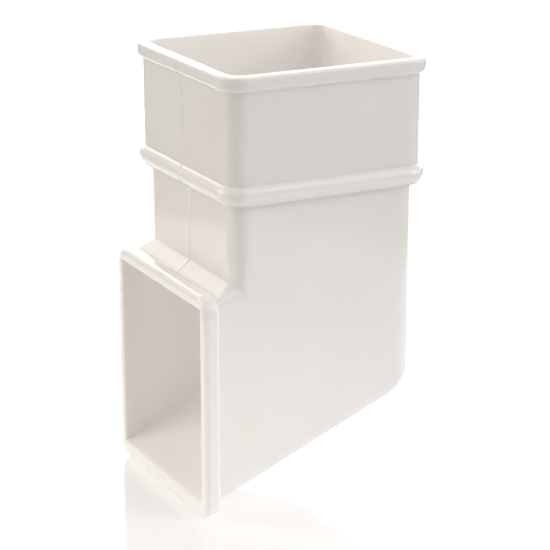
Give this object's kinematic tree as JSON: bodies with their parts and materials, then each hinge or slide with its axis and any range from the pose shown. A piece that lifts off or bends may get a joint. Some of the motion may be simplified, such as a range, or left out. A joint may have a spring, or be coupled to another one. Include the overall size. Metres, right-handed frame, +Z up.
{
  "type": "downpipe shoe",
  "caption": "Square downpipe shoe: a socket for the pipe's end above a sloping body that turns rainwater out through a hooded outlet.",
  "frame": {"origin": "on the socket's axis, at the shoulder where the pipe's end stops", "axes": "+Z up the pipe, out of the socket's mouth; -Y out of the outlet; X across, with the part alike on both sides of X = 0"},
  "size_m": [0.0738, 0.0812, 0.1452],
  "materials": {
    "white_upvc": "gloss"
  },
  "bodies": {
    "root": {"shoe_body": "white_upvc"}
  },
  "joints": []
}
